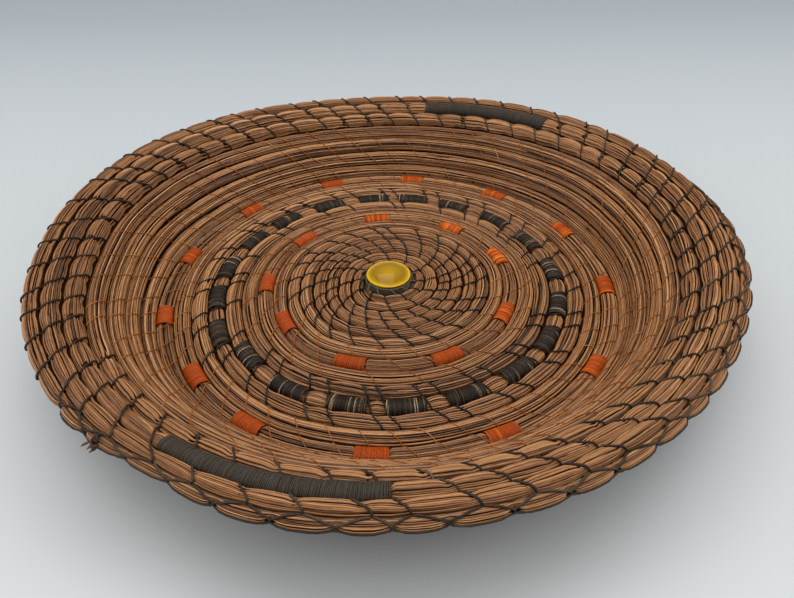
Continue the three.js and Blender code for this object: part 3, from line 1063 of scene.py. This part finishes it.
@dataclass
class StitchWork:
    """The stitching: each stitch is a loop round the bundle, from the round inside to the next valley."""

    bundle: Bundle
    origin: Vector
    finishes: dict[str, Material]
    seed: int = 23
    over: int = 9
    under: int = 6
    edge_angle: float = -0.3

    def loops(self, zone: Zone) -> None:
        """Makes one band of stitches.

        Args:
            zone: The band.
        """
        rng = np.random.default_rng(self.seed)
        batch = StrandBatch(zone.piece, self.origin, 6 if zone.slot == "dark_thread" else 4)
        over, under = np.linspace(1, 0, self.over), np.linspace(0, -1, self.under + 2)[1:-1]
        phi = math.pi * np.concatenate([over, under])
        half, end = zone.thickness / 2, self.bundle.path.end_turn
        stand = half * (0.4 if zone.slot == "dark_thread" else 0.45)
        for stitch in [stitch for stitch in self.bundle.stitches if stitch.zone is zone]:
            turns = stitch.turn + stitch.slant / 2 * fuller(np.cos(phi))
            proud = 0.9 * half if stitch.turn > end - 1 else 0.2 * stand
            points = self.bundle.around(np.clip(turns, 0.0, end), phi, proud, stand, half)
            batch.add(points, half * rng.uniform(0.85, 1.08), rng.normal(0, 0.18), closed=True)
        batch.build(self.finishes[zone.finish], zone.slot)

    def crossed_edge(self) -> None:
        """Makes the crossed stitches of the last part round: two threads that wind opposite ways.

        Each leg runs straight from an apex at the inner valley to a foot on the edge, and back underneath.
        """
        batch = StrandBatch("stitches_edge_crossed", self.origin, 6)
        apexes, half = self.bundle.apexes, Zone.RIM.thickness / 2
        feet = (apexes[1:] + apexes[:-1]) / 2
        top, bottom = np.linspace(math.pi, 0, 9), np.linspace(0, -math.pi, 6)
        for onward in (True, False):
            turns, around = [], []
            for apex, foot, following in zip(apexes, feet, apexes[1:]):
                first, second = (top, bottom[1:-1]) if onward else (bottom[::-1], top[::-1][1:-1])
                turns.append(apex + (foot - apex) * (1 + fuller(np.cos(first))) / 2)
                turns.append(foot + (following - foot) * (1 - fuller(np.cos(second))) / 2)
                around.extend((first, second))
            places, phi = np.concatenate(turns), np.concatenate(around)
            stand = 0.6 * half + (0.35 if onward else 0.0) * np.abs(np.cos(phi)) ** 6
            points = self.bundle.around(places, phi, stand * 0.6, stand, half)
            batch.add(points, half, 0.2 + 0.1 * np.sin(places * 91.0))
        # A third thread runs from foot to foot along the outside of the edge.
        places = np.linspace(feet[0], feet[-1], 6 * (len(feet) - 1) + 1)
        phi = np.full_like(places, self.edge_angle)
        points = self.bundle.around(places, phi, 0.4 * half, 0.4 * half, half)
        batch.add(points, 0.8 * half, 0.1 * np.sin(places * 57.0))
        batch.build(self.finishes["worn"], "dark_thread")


@dataclass
class WrapWork:
    """The wraps: thread wound close round the bundle, with a few turns that stray over the others."""

    bundle: Bundle
    origin: Vector
    finishes: dict[str, Material]
    steps: int = 14
    closeness: float = 0.96
    stray_lift: float = 0.22
    fading_angle: float = math.radians(40)

    def build(self, wrap: Wrap, index: int) -> None:
        """Winds one wrap in place of its node.

        Args:
            wrap: The wrap.
            index: Its number in the whole basket, which seeds its small differences.
        """
        rng = np.random.default_rng(900 + index)
        kind, size = wrap.kind, wrap.kind.thickness
        batch = StrandBatch(f"{wrap.node}_thread", self.origin)
        length = (wrap.end - wrap.start) * self.bundle.path.round_length(wrap.start)
        count = round(length / size / self.closeness)
        # The orange wraps are painted lighter toward the basket's right and back, as a painted sheen, and
        # darker opposite, as painted shade.
        angle = self.bundle.path.place(np.array([wrap.start]))[0][0]
        painted_light_offset = kind.fading * math.cos(angle - self.fading_angle)
        for layer in range(1 + kind.strays):
            if layer == 0:
                start, end, windings, lift = wrap.start, wrap.end, count, 0.0
            else:
                middle = rng.uniform(wrap.start, wrap.end)
                spread = rng.uniform(0.12, 0.3) * (wrap.end - wrap.start)
                start, end = max(wrap.start, middle - spread), min(wrap.end, middle + spread)
                windings, lift = max(1, round(count * 0.1)), self.stray_lift
            places = np.arange(windings * self.steps + 1) / self.steps
            knots = np.arange(windings + 2)
            wander = np.interp(places, knots, rng.normal(0, 0.16, windings + 2))
            turns = np.clip(start + (end - start) * (places + wander) / windings, start, end)
            phi = TAU * places + rng.uniform(0, 0.6)
            rings = self.bundle.path.rings(turns)
            swell = np.interp(places, knots, rng.normal(0, 0.05, windings + 2)) + lift
            inset = size / 2 + 0.12 * np.exp(-np.minimum(places, windings - places) / 0.8) - swell
            width, height = rings.half_width + 0.1 - inset, rings.half_height + 0.2 - inset
            shade = np.interp(places, knots, rng.normal(0, kind.spread, windings + 2)) + painted_light_offset
            batch.add(on_section(rings, phi, width, height, size / 2), size / 2, shade)
        batch.build(self.finishes[kind.finish], f"{kind.thread}_thread", wrap.node)


@dataclass
class CentreDisc:
    """The glazed disc: a low dome with a thin pale rim that grips the thread under it."""

    origin: Vector
    radius: float = 10.6
    neck: float = 10.05
    underside: float = 3.4
    rim_height: float = 9.4
    rim_thickness: float = 0.9
    rim_inset: float = 0.75
    bevel: float = 0.3
    dome: float = 0.9

    def build(self, finish: GlazedDiscFinish) -> None:
        """Turns the disc about its axis in place of its node.

        Args:
            finish: The disc's glaze.
        """
        outline = [(0.0, self.underside), (self.neck - self.bevel, self.underside)]
        outline.append((self.neck, self.underside + self.bevel))
        outline.append((self.neck, self.rim_height - self.rim_thickness))
        half = self.rim_thickness / 2
        for angle in np.radians(np.linspace(-80, 80, 9)):
            reach = self.radius - half + half * math.cos(angle)
            outline.append((reach, self.rim_height - half + half * math.sin(angle)))
        edge = self.radius - self.rim_inset
        outline.append((edge, self.rim_height - 0.02))
        for share in np.linspace(0.94, 0.0, 12):
            outline.append((edge * share, self.rim_height + self.dome * (1 - share**2.2)))
        shape = bmesh.new()
        verts = [shape.verts.new((self.origin.x + r * MM, self.origin.y, z * MM)) for r, z in outline]
        edges = [shape.edges.new(pair) for pair in zip(verts, verts[1:])]
        cent, axis = (self.origin.x, self.origin.y, 0.0), (0, 0, 1)
        bmesh.ops.spin(shape, geom=verts + edges, cent=cent, axis=axis, angle=TAU, steps=96, use_merge=True)
        bmesh.ops.remove_doubles(shape, verts=shape.verts, dist=0.001 * MM)
        bmesh.ops.recalc_face_normals(shape, faces=shape.faces)
        mesh = smooth_mesh(shape, "centre_disc_glazed")
        add_piece(mesh, finish.material(self.origin, self.radius * MM), "centre_disc")


@dataclass
class CentreBinding:
    """The waxed thread wound round the disc's neck, with the ties that hold it to the first round."""

    origin: Vector
    radius: float = 10.9
    top: float = 8.05
    pitch: float = 0.84
    loops: float = 5.5
    thickness: float = 0.95
    start_angle: float = math.radians(-148)
    ties: int = 12
    tie_length: float = 3.4
    tie_size: float = 0.36

    def build(self, material: Material) -> None:
        """Winds the binding in place of its node.

        Args:
            material: The thread's finish.
        """
        rng = np.random.default_rng(5)
        batch = StrandBatch("centre_binding_thread", self.origin, 6)
        places = np.linspace(0, self.loops, int(self.loops * 48))
        angle = TAU * places + self.start_angle
        wander = 0.07 * np.sin(3.1 * angle) + 0.05 * np.sin(7.7 * angle)
        reach, height = self.radius + wander, self.top - self.pitch * places + 0.5 * wander
        points = np.stack([reach * np.cos(angle), reach * np.sin(angle), height], axis=1)
        batch.add(points, self.thickness / 2, 0.15 * np.sin(1.7 * angle))
        share = np.linspace(0, 1, 7)
        reach = self.radius - 0.2 + self.tie_length * share
        height = self.top - 0.3 + 0.4 * np.sin(math.pi * share) - 1.4 * share**2
        size = self.tie_size * (np.arange(7) % 6 > 0)
        for number in range(self.ties):
            turn = TAU * (number + rng.uniform(-0.2, 0.2)) / self.ties + 0.22 * share
            tie = np.stack([reach * np.cos(turn), reach * np.sin(turn), height], axis=1)
            batch.add(tie, size, rng.normal(0, 0.1))
        batch.build(material, "dark_thread", "centre_binding")


@dataclass
class StartKnot:
    """The knot where the crossed edge stitching starts, with cut thread ends and a few needle butts."""

    bundle: Bundle
    origin: Vector
    number: int = 22
    angle: float = -127.0
    stubs: int = 9
    thread_size: float = 0.5
    stub_size: float = 0.38

    def build(self, thread: Material, needle: Material) -> None:
        """Ties the knot and lays the cut ends.

        Args:
            thread: The finish of the knot.
            needle: The finish of the needle butts.
        """
        rng = np.random.default_rng(3)
        path = self.bundle.path
        rings = path.rings(np.array([path.turn_at(self.number, self.angle)]))
        centre, outward, up = rings.centre[0], rings.outward[0], rings.up[0]
        along = np.cross(up, outward)
        knot = StrandBatch("edge_knot_thread", self.origin, 6)
        angle = np.linspace(0, TAU, 14, endpoint=False)[:, None]
        middle = centre + outward * 1.2 + up * rings.half_height[0] * 0.8
        for tilt in (0.4, 1.5):
            side = along * math.cos(tilt) + outward * math.sin(tilt)
            loop = middle + 1.5 * np.cos(angle) * side + 1.1 * np.sin(angle) * up
            knot.add(loop, self.thread_size, 0.0, closed=True)
        stubs = StrandBatch("edge_knot_needles", self.origin)
        share, size = np.linspace(0, 1, 6)[:, None], self.stub_size * (np.arange(6) % 5 > 0)
        for _ in range(self.stubs):
            way = outward * rng.uniform(0.5, 1.0) + along * rng.uniform(-0.9, 0.3)
            way = way - up * rng.uniform(0.1, 0.7)
            start = centre + outward * rings.half_width[0] * 0.6 + along * rng.uniform(-2, 2)
            stubs.add(start + share * way * rng.uniform(2.5, 4.5), size, rng.uniform(0.05, 0.4))
        knot.build(thread, "dark_thread")
        stubs.build(needle, "needles")


@dataclass
class Studio:
    """A pale sweep, soft lights and the camera at the photograph's angle. Its lengths are in metres.

    Each lamp has a name, a place, a width and height, a power in watts and a colour.
    """

    # These paper colours, palest in front and greyer behind, are painted light and shade for the lamps'
    # fall-off toward the back.
    front: str = "#ccd2d8"
    floor: str = "#bdc4ca"
    back: str = "#a2abb4"
    air: str = "#e4e8ee"
    air_strength: float = 0.36
    wall_strength: float = 0.54
    half_floor: float = 1.5
    bend: float = 0.6
    wall_rise: float = 1.5
    shade_start: float = -0.22
    fade_start: float = 0.8
    fade_end: float = 1.4
    lamps: tuple[tuple[str, tuple, tuple, float, str], ...] = (
        ("window", (-0.05, 1.05, 1.2), (0.33, 0.55), 1.4, "#ffeaca"),
        ("soft_box", (0.0, 0.24, 1.02), (1.8, 0.5), 9.0, "#fdfaf4"),
        ("ceiling", (0.0, -0.4, 0.95), (0.8, 0.8), 3.2, "#fff6e8"),
        ("left_wall", (-1.0, 0.0, 0.5), (0.7, 0.7), 4.2, "#fdf8f0"),
        ("right_wall", (1.0, 0.0, 0.5), (0.7, 0.7), 4.2, "#fdf8f0"),
    )
    focal_length: float = 29.51
    viewpoint: tuple[float, float, float] = (0.0, -0.252215, 0.194438)
    view_angles: tuple[float, float, float] = (51.482, 0.475, -1.279)

    def stage(self) -> None:
        """Adds the floor, which curves up into the backdrop far behind the basket."""
        shape = bmesh.new()
        bmesh.ops.create_grid(shape, x_segments=2, y_segments=2, size=self.half_floor)
        back = [edge for edge in shape.edges if all(vert.co.y > 0.9 * self.half_floor for vert in edge.verts)]
        geom = back + list({vert for edge in back for vert in edge.verts})
        cent = (0, self.half_floor, self.bend)
        bmesh.ops.spin(shape, geom=geom, cent=cent, axis=(1, 0, 0), angle=TAU / 4, steps=16, use_merge=False)
        raised = [edge for edge in shape.edges if all(vert.co.z > 0.998 * self.bend for vert in edge.verts)]
        top = bmesh.ops.extrude_edge_only(shape, edges=raised)["geom"]
        verts = [part for part in top if isinstance(part, bmesh.types.BMVert)]
        bmesh.ops.translate(shape, verts=verts, vec=(0, 0, self.wall_rise))
        mesh = smooth_mesh(shape, "studio_sweep")
        mesh.materials.append(self.paper())
        sweep = bpy.data.objects.new("studio_sweep", mesh)
        bpy.context.collection.objects.link(sweep)

    def paper(self) -> Material:
        """Builds the sweep's matte paper.

        Returns:
            The material.
        """
        material, kit, shader = new_material("matte_paper", 0.9, 0.1)
        # The paper is palest up to the start of its painted shade, in front of the basket's middle, and greys
        # over 0.7 m beyond, painting the light that falls off toward the back.
        place = kit.add("TexCoord").outputs["Object"]
        shifted = kit.compute("ADD", kit.split(place)["Y"], -self.shade_start)
        colour = kit.ramp(shifted, {0.0: self.front, 0.2: self.floor, 0.7: self.back})
        kit.link(colour, shader, "Base Color")
        # Beyond the photograph's view the camera sees the paper fade into the wall.
        reach = {"Value": kit.reach(place), "From Min": self.fade_start, "From Max": self.fade_end}
        share = kit.compute("MULTIPLY", kit.seen(), kit.add("MapRange", reach).outputs["Result"])
        wall = kit.add("Emission", {"Color": linear(self.air), "Strength": self.wall_strength})
        kit.mix(share, shader, wall)
        return material

    def lights(self) -> None:
        """Adds the lamps, which face the basket, and the even light of the room."""
        world = bpy.data.worlds.new("studio_air")
        kit = NodeKit(world)
        # Past the paper's edge the camera sees a pale wall, which doesn't add to the light on the basket.
        air, wall = [
            kit.add("Background", {"Color": linear(self.air), "Strength": strength})
            for strength in (self.air_strength, self.wall_strength)
        ]
        kit.mix(kit.seen(), air, wall)
        bpy.context.scene.world = world
        for name, place, size, watts, colour in self.lamps:
            lamp = bpy.data.lights.new(name, "AREA")
            lamp.shape = "RECTANGLE"
            lamp.size, lamp.size_y = size
            lamp.energy = watts
            lamp.color = linear(colour)[:3]
            holder = bpy.data.objects.new(name, lamp)
            holder.location = place
            holder.rotation_euler = (-Vector(place)).to_track_quat("-Z", "Y").to_euler()
            bpy.context.collection.objects.link(holder)

    def camera(self, origin: Vector) -> None:
        """Adds the camera that matches the photograph's view.

        Args:
            origin: The place of the basket's axis on the ground.
        """
        lens = bpy.data.cameras.new("photo_camera")
        lens.lens = self.focal_length
        lens.sensor_width = 36.0
        lens.clip_start = 0.01
        holder = bpy.data.objects.new("photo_camera", lens)
        holder.location = origin + Vector(self.viewpoint)
        holder.rotation_euler = [math.radians(angle) for angle in self.view_angles]
        bpy.context.collection.objects.link(holder)
        bpy.context.scene.camera = holder
        bpy.context.scene.view_settings.view_transform = "Standard"


def main() -> None:
    """Builds the basket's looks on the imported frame."""
    logging.basicConfig(level=logging.INFO, format="%(message)s")
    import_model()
    low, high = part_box("centre_disc")
    origin = Vector(((low[0] + high[0]) / 2, (low[1] + high[1]) / 2, 0.0))

    path = CoilPath()
    wraps = WrapPlan(path).wraps()
    plan = StitchPlan(path, wraps)
    stitches = plan.stitches()
    bundle = Bundle(path, stitches, wraps, plan.apexes(stitches))
    finishes = {name: finish.material() for name, finish in THREADS.items()}
    needle = DriedNeedleFinish().material()
    # Light that reaches the inside of the bundle has lost its gloss between the needles.
    inside = DriedNeedleFinish("shaded_pine_needle", roughness=0.9, specular=0.0).material()

    layer = NeedleLayer(bundle, origin)
    layer.core(inside)
    layer.build(needle)
    work = StitchWork(bundle, origin, finishes)
    for zone in Zone:
        work.loops(zone)
    work.crossed_edge()
    winder = WrapWork(bundle, origin, finishes)
    for index, wrap in enumerate(wraps):
        winder.build(wrap, index)
    CentreDisc(origin).build(GlazedDiscFinish())
    CentreBinding(origin).build(finishes["binding"])
    StartKnot(bundle, origin).build(finishes["worn"], needle)

    studio = Studio()
    studio.stage()
    studio.lights()
    studio.camera(origin)


if __name__ == "__main__":
    main()
